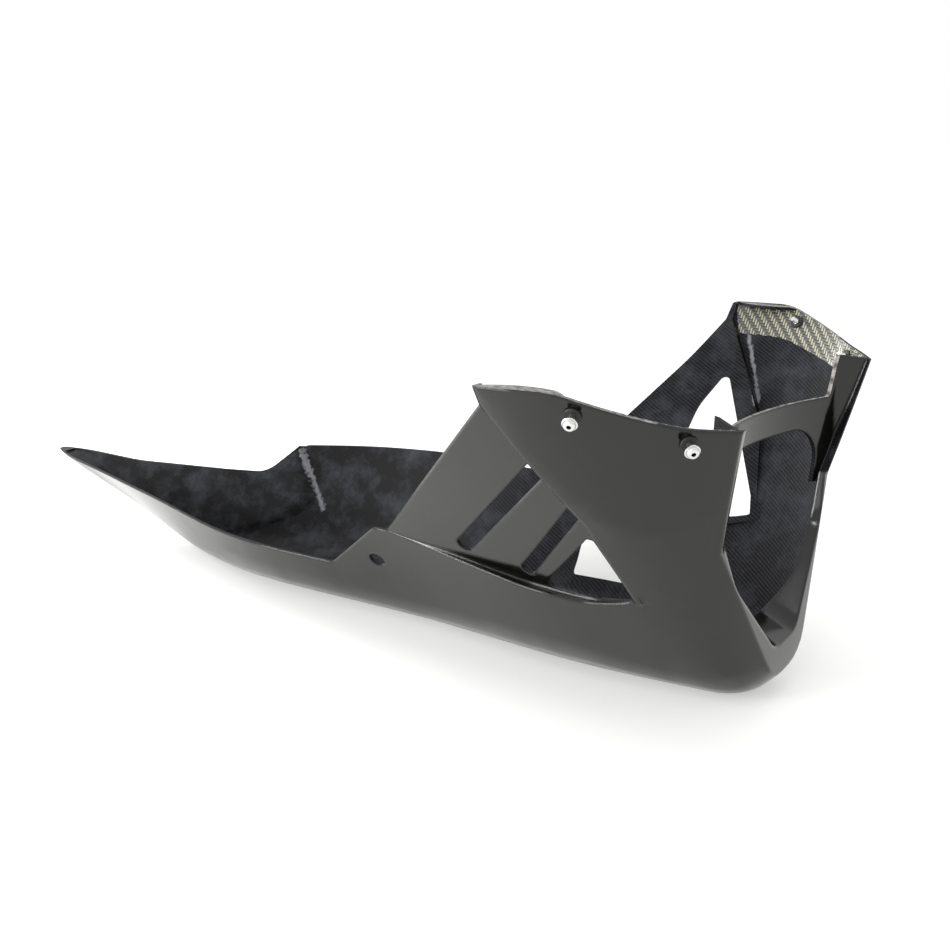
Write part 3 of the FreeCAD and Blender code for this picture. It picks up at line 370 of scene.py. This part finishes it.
def hybrid_twill(colours, sizes):
    """Carbon and aramid twill ply, hand laid in thin resin, so pale and dark tows show under a thin gloss."""
    material, tree, shader = new_material("carbon_aramid_twill")
    mask, relief = weave(tree, sizes.hybrid_tow)
    tows = add_node(tree, "ShaderNodeMix", (
        ("Factor", mask), ("A", colours.black_tow), ("B", colours.aramid)), data_type="RGBA")
    crown = add_node(tree, "ShaderNodeMapRange", (("Value", relief), ("From Min", 0.4), ("From Max", 0.85)))
    cloth = add_node(tree, "ShaderNodeMix", (
        ("Factor", crown.outputs[0]), ("A", colours.tow_gap), ("B", tows.outputs["Result"])),
        data_type="RGBA")
    bump = add_node(tree, "ShaderNodeBump", (("Height", relief), ("Strength", 0.6), ("Distance", 0.0004)))
    shader.inputs["Roughness"].default_value = 0.42
    shader.inputs["Coat Weight"].default_value = 0.3
    shader.inputs["Coat Roughness"].default_value = 0.15
    tree.links.new(cloth.outputs["Result"], shader.inputs["Base Color"])
    tree.links.new(bump.outputs[0], shader.inputs["Normal"])
    return material


def zinc_steel(colours, sizes):
    """Steel, turned and bright zinc plated, whose fine tool marks blur what it mirrors."""
    material, tree, shader = new_material("zinc_plated_steel")
    place = add_node(tree, "ShaderNodeTexCoord").outputs["Object"]
    # The marks are drawn coarser than real ones, so that they show
    marks = add_node(tree, "ShaderNodeTexNoise", (
        ("Vector", place), ("Scale", 1 / sizes.tool_mark), ("Detail", 2.0)))
    rough = add_node(tree, "ShaderNodeMapRange", (
        ("Value", marks.outputs["Fac"]), ("To Min", 0.16), ("To Max", 0.34)))
    shader.inputs["Base Color"].default_value = colours.zinc
    shader.inputs["Metallic"].default_value = 1.0
    tree.links.new(rough.outputs[0], shader.inputs["Roughness"])
    return material


def shaded_socket(colours, sizes):
    """Broached steel socket, painted dark as the shade inside its hollow, with a spotted roughness."""
    material, tree, shader = new_material("steel_socket_painted_shade")
    place = add_node(tree, "ShaderNodeTexCoord").outputs["Object"]
    # The spots vary only how rough the painted shade is
    dirt = add_node(tree, "ShaderNodeTexNoise", (
        ("Vector", place), ("Scale", 1 / sizes.socket_spot), ("Detail", 2.0)))
    rough = add_node(tree, "ShaderNodeMapRange", (
        ("Value", dirt.outputs["Fac"]), ("To Min", 0.4), ("To Max", 0.7)))
    shader.inputs["Base Color"].default_value = colours.socket_shade
    shader.inputs["Metallic"].default_value = 1.0
    tree.links.new(rough.outputs[0], shader.inputs["Roughness"])
    return material


def black_rubber(colours, sizes):
    """Moulded black rubber, matt with a fine grain."""
    material, tree, shader = new_material("moulded_black_rubber")
    place = add_node(tree, "ShaderNodeTexCoord").outputs["Object"]
    # The grain is drawn coarser than a real one, so that it shows
    grain = add_node(tree, "ShaderNodeTexNoise", (("Vector", place), ("Scale", 1 / sizes.rubber_grain)))
    bump = add_node(tree, "ShaderNodeBump", (
        ("Height", grain.outputs["Fac"]), ("Strength", 0.2), ("Distance", 0.0002)))
    shader.inputs["Base Color"].default_value = colours.rubber
    shader.inputs["Roughness"].default_value = 0.55
    tree.links.new(bump.outputs[0], shader.inputs["Normal"])
    return material


def label_paper(colours, sizes):
    """Coated white label paper, smooth with a faint fibre."""
    material, tree, shader = new_material("coated_label_paper")
    place = add_node(tree, "ShaderNodeTexCoord").outputs["Object"]
    # The fibres are drawn coarser than real ones, so that they show
    fibre = add_node(tree, "ShaderNodeTexNoise", (
        ("Vector", place), ("Scale", 1 / sizes.paper_fibre), ("Detail", 3.0)))
    bump = add_node(tree, "ShaderNodeBump", (
        ("Height", fibre.outputs["Fac"]), ("Strength", 0.1), ("Distance", 0.0001)))
    shader.inputs["Base Color"].default_value = colours.paper
    shader.inputs["Roughness"].default_value = 0.4
    tree.links.new(bump.outputs[0], shader.inputs["Normal"])
    return material


def studio_floor(colours):
    """Matt painted floor, lifted to white by a glow that camera, glossy and transmission rays see."""
    material, tree, shader = new_material("matt_studio_floor")
    path = add_node(tree, "ShaderNodeLightPath")
    direct = add_node(tree, "ShaderNodeMath", (
        (0, path.outputs["Is Camera Ray"]), (1, path.outputs["Is Glossy Ray"])), operation="MAXIMUM")
    seen = add_node(tree, "ShaderNodeMath", (
        (0, direct.outputs[0]), (1, path.outputs["Is Transmission Ray"])), operation="MAXIMUM")
    glow = add_node(tree, "ShaderNodeMath", ((0, seen.outputs[0]), (1, FLOOR_GLOW)), operation="MULTIPLY")
    shader.inputs["Base Color"].default_value = colours.floor
    shader.inputs["Roughness"].default_value = 0.7
    shader.inputs["Emission Color"].default_value = linear("#ffffff")
    tree.links.new(glow.outputs[0], shader.inputs["Emission Strength"])
    return material


def shade(bm, crease):
    """Shades every face smooth, and every edge that bends more than the crease angle sharp."""
    for face in bm.faces:
        face.smooth = True
    for edge in bm.edges:
        edge.smooth = edge.is_manifold and edge.calc_face_angle() < crease


def welded(node):
    """Bmesh of a CAD node with its doubled vertices merged, shaded and with one finish."""
    bm = bmesh.new()
    bm.from_mesh(frame["nodes"][node].data)
    bmesh.ops.remove_doubles(bm, verts=bm.verts, dist=WELD)
    for face in bm.faces:
        face.material_index = 0
    shade(bm, MOULDED_CREASE)
    bm.normal_update()
    return bm


def finished(name, bm, slot, *materials):
    """Object of a bmesh, riding on the part with its finishes."""
    mesh = bpy.data.meshes.new(name)
    bm.to_mesh(mesh)
    bm.free()
    # Normals that come with a CAD node don't fit its merged mesh
    if "custom_normal" in mesh.attributes:
        mesh.attributes.remove(mesh.attributes["custom_normal"])
    for material in materials:
        mesh.materials.append(material)
    piece = bpy.data.objects.new(name, mesh)
    bpy.context.scene.collection.objects.link(piece)
    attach(piece, "root")
    return piece


def patches(bm):
    """Groups of faces that join each other over smooth edges."""
    left = set(bm.faces)
    while left:
        patch = []
        reached = [left.pop()]
        while reached:
            face = reached.pop()
            patch.append(face)
            for edge in face.edges:
                if edge.smooth:
                    joined = [other for other in edge.link_faces if other in left]
                    left.difference_update(joined)
                    reached += joined
        yield patch


def finish_of(patch, tree, sizes):
    """Finish of a patch of the shell: gloss outside, bare carbon inside, or an edge that looks up, painted
    pale as lit from above.
    """
    inside = Vector((sizes.ahead, 0.0, sizes.above))
    whole = thin = outer = upward = low = 0.0
    for face in patch:
        area = face.calc_area()
        middle = face.calc_center_median()
        hit = tree.ray_cast(middle - face.normal * RAY_START, -face.normal, sizes.skin)
        lip = middle.x > sizes.lip and middle.z < sizes.kink
        whole += area
        thin += area if hit[0] is not None or middle.x < sizes.tip else 0.0
        outer += area if lip or face.normal.dot(middle - inside) > 0.0 else 0.0
        upward += area * face.normal.z
        low += area if middle.x > sizes.panel and middle.z < sizes.kink else 0.0
    # A patch with a thin wall behind it is a skin, and any other is seen end on. Of the end-on patches, those
    # that look up are painted pale as lit from above, but for the low ones at the front, which are gloss; the
    # others are painted dark as bare carbon, as shade
    if thin > whole * PATCH_SHARE:
        return GLOSS if outer > whole / 2 else CARBON
    if upward > whole * PATCH_SHARE:
        return GLOSS if low > whole / 2 else LIT_EDGE
    return CARBON


def step_tray(bm, sizes):
    """Sets the tray's left inner skin further in, behind a raked step over the wall and the floor."""
    corner = Vector(sizes.step_corner)
    wall = (corner - Vector(sizes.step_top)).cross(Vector(sizes.wall_way)).normalized()
    toe = Vector(sizes.step_toe) - corner
    ground = Vector((-toe.y, toe.x, 0.0)).normalized()
    for way in (wall, ground):
        for shift in (0.0, sizes.step_wide):
            inner = [face for face in bm.faces
                     if face.material_index == CARBON and face.calc_center_median().x < 0.0]
            parts = {item for face in inner for item in (*face.verts, *face.edges)}
            bmesh.ops.bisect_plane(
                bm, geom=inner + list(parts), dist=WELD, plane_co=corner - way * shift, plane_no=way)
    fade_run = sizes.step_top[0] - sizes.step_fade
    moves = {}
    for vert in bm.verts:
        if vert.co.x < 0.0 and all(face.material_index == CARBON for face in vert.link_faces):
            behind = -max((vert.co - corner).dot(wall), (vert.co - corner).dot(ground))
            ramp = min(max(behind / sizes.step_wide, 0.0), 1.0)
            fade = min(max((vert.co.x - sizes.step_fade) / fade_run, 0.0), 1.0)
            moves[vert] = vert.normal * sizes.step_deep * ramp * fade
    for vert, move in moves.items():
        vert.co += move
    bm.normal_update()


def map_weave(bm, turn):
    """Weave map in metres, from the axis that each face looks along, with the cloth turned."""
    layer = bm.loops.layers.uv.new("weave")
    lay = Matrix.Rotation(-turn, 2)
    for face in bm.faces:
        normal = [abs(part) for part in face.normal]
        along = normal.index(max(normal))
        first, second = ((1, 2), (0, 2), (0, 1))[along]
        for loop in face.loops:
            loop[layer].uv = lay @ Vector((loop.vert.co[first], loop.vert.co[second]))


class FAIRING_OT_shell(bpy.types.Operator):
    """Dresses the moulded shell: gloss outside, bare twill inside and sanded edges, painted pale where they
    look up
    """
    bl_idname = "fairing.shell"
    bl_label = "Moulded shell"

    def execute(self, context):
        sizes = context.scene.fairing_sizes
        colours = context.scene.fairing_colours
        bm = welded("fairing_shell")
        tree = BVHTree.FromBMesh(bm)
        for patch in patches(bm):
            finish = finish_of(patch, tree, sizes)
            for face in patch:
                # Inner faces of turned corners that look up are painted pale, as lit from above
                high = face.normal.z > LOOKS_UP and face.calc_center_median().z > sizes.turned
                face.material_index = LIT_EDGE if finish == CARBON and high else finish
        step_tray(bm, sizes)
        map_weave(bm, sizes.carbon_turn)
        piece = finished(
            "moulded_shell", bm, "moulded_laminate",
            gloss_black(colours, sizes), bare_carbon(colours, sizes), lit_cut_edge(colours, sizes))
        weighted = piece.modifiers.new("Weighted normals", "WEIGHTED_NORMAL")
        weighted.keep_sharp = True
        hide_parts("fairing_shell")
        return {"FINISHED"}


class FAIRING_OT_plies(bpy.types.Operator):
    """Dresses the two plies bonded inside the panels"""
    bl_idname = "fairing.plies"
    bl_label = "Plies"

    def execute(self, context):
        material = hybrid_twill(context.scene.fairing_colours, context.scene.fairing_sizes)
        for node in ("right_ply", "left_ply"):
            bm = welded(node)
            map_weave(bm, 0.0)
            piece = finished(node.replace("_ply", "_twill_ply"), bm, "hybrid_twill", material)
            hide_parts(node)
        return {"FINISHED"}


class FAIRING_OT_label(bpy.types.Operator):
    """Dresses the blank label inside the left side"""
    bl_idname = "fairing.label"
    bl_label = "Blank label"

    def execute(self, context):
        material = label_paper(context.scene.fairing_colours, context.scene.fairing_sizes)
        piece = finished("paper_label", welded("blank_label"), "label_paper", material)
        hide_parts("blank_label")
        return {"FINISHED"}


def seats(sizes):
    """Places of the screws on the panels' outer face, with Z outward."""
    places = []
    for mount in frame["record"]["mounts"]:
        if mount["kind"] == "pin":
            outward = -Vector(mount["axis"])
            turn = Vector((0.0, 0.0, 1.0)).rotation_difference(outward).to_matrix().to_4x4()
            places.append(Matrix.Translation(Vector(mount["pos_m"]) + outward * sizes.thread_middle) @ turn)
    return places


def spun(profile, facets):
    """Bmesh of a profile of (radius, height) points turned about Z."""
    bm = bmesh.new()
    verts = [bm.verts.new((radius, 0.0, height)) for radius, height in profile]
    edges = [bm.edges.new(pair) for pair in zip(verts, verts[1:])]
    bmesh.ops.spin(
        bm, geom=verts + edges, cent=(0, 0, 0), axis=(0, 0, 1), angle=2 * math.pi, steps=facets,
        use_merge=True)
    bmesh.ops.remove_doubles(bm, verts=bm.verts, dist=WELD)
    return bm


def seated(bm, places):
    """Moves a piece from the origin to the first seat, with copies on the others, and shades them."""
    kept = bm.verts[:] + bm.edges[:] + bm.faces[:]
    for place in places[1:]:
        copy = bmesh.ops.duplicate(bm, geom=kept)["geom"]
        verts = [item for item in copy if isinstance(item, bmesh.types.BMVert)]
        bmesh.ops.transform(bm, matrix=place, verts=verts)
    verts = [item for item in kept if isinstance(item, bmesh.types.BMVert)]
    bmesh.ops.transform(bm, matrix=places[0], verts=verts)
    bmesh.ops.recalc_face_normals(bm, faces=bm.faces)
    shade(bm, TURNED_CREASE)


def screw_profile(sizes):
    """Half outline of a screw from its tip over thread, shank and collar to the flat of its head."""
    root = sizes.thread_radius - THREAD_DEPTH * sizes.thread_pitch
    profile = [(0.0, -sizes.tip_end), (root, -sizes.tip_end)]
    turns = int((sizes.tip_end - sizes.thread_end) / sizes.thread_pitch)
    for turn in range(turns):
        height = turn * sizes.thread_pitch - sizes.tip_end
        profile += [
            (sizes.thread_radius, height + sizes.thread_pitch / 2),
            (root, height + sizes.thread_pitch),
        ]
    collar = sizes.collar_under + sizes.collar_height
    ease = sizes.collar_height / 4
    profile += [
        (sizes.shank_radius, -sizes.thread_end),
        (sizes.shank_radius, sizes.collar_under),
        (sizes.collar_radius - ease, sizes.collar_under),
        (sizes.collar_radius, sizes.collar_under + ease),
        (sizes.collar_radius, collar - ease),
        (sizes.collar_radius - ease, collar),
        (sizes.head_radius, collar),
    ]
    span = sizes.head_radius - sizes.crown_radius
    for step in range(1, HEAD_STEPS + 1):
        angle = math.pi / 2 * step / HEAD_STEPS
        radius = sizes.crown_radius + span * math.cos(angle)
        profile.append((radius, collar + sizes.head_height * math.sin(angle)))
    return profile


def sink_socket(bm, sizes):
    """Closes a screw's open head with a hexagon socket in its own finish."""
    rim = [edge for edge in bm.edges if edge.is_boundary]
    for depth in (0.0, sizes.socket_deep):
        added = bmesh.ops.extrude_edge_only(bm, edges=rim)["geom"]
        ring = [item for item in added if isinstance(item, bmesh.types.BMVert)]
        rim = [item for item in added if isinstance(item, bmesh.types.BMEdge)]
        for vert in ring:
            angle = math.atan2(vert.co.y, vert.co.x) % (math.pi / 3) - math.pi / 6
            reach = sizes.socket_radius * math.cos(math.pi / 6) / math.cos(angle)
            vert.co.xy = vert.co.xy.normalized() * reach
        bmesh.ops.translate(bm, vec=(0.0, 0.0, -depth), verts=ring)
    bmesh.ops.edgeloop_fill(bm, edges=rim)
    for face in bm.faces:
        middle = face.calc_center_median()
        off = middle.xy.length
        wall = off < sizes.socket_radius and abs(face.normal.z) < 0.5
        bottom = off < sizes.socket_radius / 4
        # Socket walls and bottom take the second finish, painted dark as shade
        face.material_index = int(middle.z > 0.0 and (wall or bottom))


class FAIRING_OT_screws(bpy.types.Operator):
    """Models the four button-head screws with their threads and hexagon sockets"""
    bl_idname = "fairing.screws"
    bl_label = "Screws"

    def execute(self, context):
        sizes = context.scene.fairing_sizes
        colours = context.scene.fairing_colours
        bm = spun(screw_profile(sizes), SCREW_FACETS)
        sink_socket(bm, sizes)
        seated(bm, seats(sizes))
        piece = finished(
            "button_head_screws", bm, "zinc_steel", zinc_steel(colours, sizes), shaded_socket(colours, sizes))
        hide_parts("fixing_screws")
        return {"FINISHED"}


class FAIRING_OT_grommets(bpy.types.Operator):
    """Models the four rubber grommets with eased flanges"""
    bl_idname = "fairing.grommets"
    bl_label = "Grommets"

    def execute(self, context):
        sizes = context.scene.fairing_sizes
        ease = sizes.flange_thick / 3
        low = -sizes.neck_length
        bm = spun([
            (sizes.bore_radius, low - sizes.flange_thick),
            (sizes.flange_radius - ease, low - sizes.flange_thick),
            (sizes.flange_radius, low - sizes.flange_thick + ease),
            (sizes.flange_radius, low),
            (sizes.neck_radius, low),
            (sizes.neck_radius, 0.0),
            (sizes.flange_radius, 0.0),
            (sizes.flange_radius, sizes.flange_thick - ease),
            (sizes.flange_radius - ease, sizes.flange_thick),
            (sizes.bore_radius, sizes.flange_thick),
            (sizes.bore_radius, low - sizes.flange_thick),
        ], GROMMET_FACETS)
        seated(bm, seats(sizes))
        material = black_rubber(context.scene.fairing_colours, sizes)
        piece = finished("moulded_grommets", bm, "black_rubber", material)
        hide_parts("rubber_grommets")
        return {"FINISHED"}


def lay_floor(scene):
    """Floor of the studio, just under the part."""
    sizes = scene.fairing_sizes
    bm = bmesh.new()
    bmesh.ops.create_grid(bm, x_segments=1, y_segments=1, size=sizes.floor_half)
    mesh = bpy.data.meshes.new("studio_floor")
    bm.to_mesh(mesh)
    bm.free()
    mesh.materials.append(studio_floor(scene.fairing_colours))
    floor = bpy.data.objects.new("studio_floor", mesh)
    floor.location.z = -sizes.floor_gap
    scene.collection.objects.link(floor)


def light_studio(scene):
    """White world and the lamps."""
    world = bpy.data.worlds.new("studio")
    scene.world = world
    world.use_nodes = True
    tree = world.node_tree
    tree.nodes.clear()
    sky = add_node(tree, "ShaderNodeBackground", (("Color", linear("#ffffff")), ("Strength", 1.0)))
    add_node(tree, "ShaderNodeOutputWorld", (("Surface", sky.outputs[0]),))
    for name, place, aim, width, power in LAMPS:
        light = bpy.data.lights.new(name, "AREA")
        light.size = width
        light.energy = power
        lamp = bpy.data.objects.new(name, light)
        lamp.location = place
        lamp.rotation_euler = (Vector(aim) - Vector(place)).to_track_quat("-Z", "Y").to_euler()
        scene.collection.objects.link(lamp)


def place_camera(scene):
    """Camera where the photograph was taken from."""
    camera = bpy.data.cameras.new("camera")
    camera.lens = CAMERA_LENS
    camera.sensor_width = CAMERA_SENSOR
    eye = bpy.data.objects.new("camera", camera)
    eye.location = CAMERA_PLACE
    eye.rotation_euler = (CAMERA_PITCH, 0.0, CAMERA_YAW)
    scene.collection.objects.link(eye)
    scene.camera = eye


class FAIRING_OT_stage(bpy.types.Operator):
    """Sets up the floor, the studio light and the camera"""
    bl_idname = "fairing.stage"
    bl_label = "Stage"

    def execute(self, context):
        scene = context.scene
        lay_floor(scene)
        light_studio(scene)
        place_camera(scene)
        scene.view_settings.view_transform = "Standard"
        return {"FINISHED"}


class FAIRING_PT_panel(bpy.types.Panel):
    """Sizes, colours and steps of the lower fairing"""
    bl_idname = "FAIRING_PT_panel"
    bl_label = "Lower fairing"
    bl_space_type = "VIEW_3D"
    bl_region_type = "UI"
    bl_category = "Fairing"

    def draw(self, context):
        for group in (context.scene.fairing_sizes, context.scene.fairing_colours):
            column = self.layout.column()
            for name in type(group).__annotations__:
                column.prop(group, name)
        for step in STEPS:
            self.layout.operator(step.bl_idname)


STEPS = (
    FAIRING_OT_shell,
    FAIRING_OT_plies,
    FAIRING_OT_label,
    FAIRING_OT_screws,
    FAIRING_OT_grommets,
    FAIRING_OT_stage,
)
CLASSES = (FairingSizes, FairingColours) + STEPS + (FAIRING_PT_panel,)


def register():
    for entry in CLASSES:
        bpy.utils.register_class(entry)
    bpy.types.Scene.fairing_sizes = bpy.props.PointerProperty(type=FairingSizes)
    bpy.types.Scene.fairing_colours = bpy.props.PointerProperty(type=FairingColours)


def unregister():
    del bpy.types.Scene.fairing_colours
    del bpy.types.Scene.fairing_sizes
    for entry in reversed(CLASSES):
        bpy.utils.unregister_class(entry)


def main():
    for name in ("Cube", "Light", "Camera"):
        if name in bpy.data.objects:
            bpy.data.objects.remove(bpy.data.objects[name])
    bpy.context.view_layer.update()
    register()
    bpy.ops.fairing.shell()
    bpy.ops.fairing.plies()
    bpy.ops.fairing.label()
    bpy.ops.fairing.screws()
    bpy.ops.fairing.grommets()
    bpy.ops.fairing.stage()


if __name__ == "__main__":
    main()
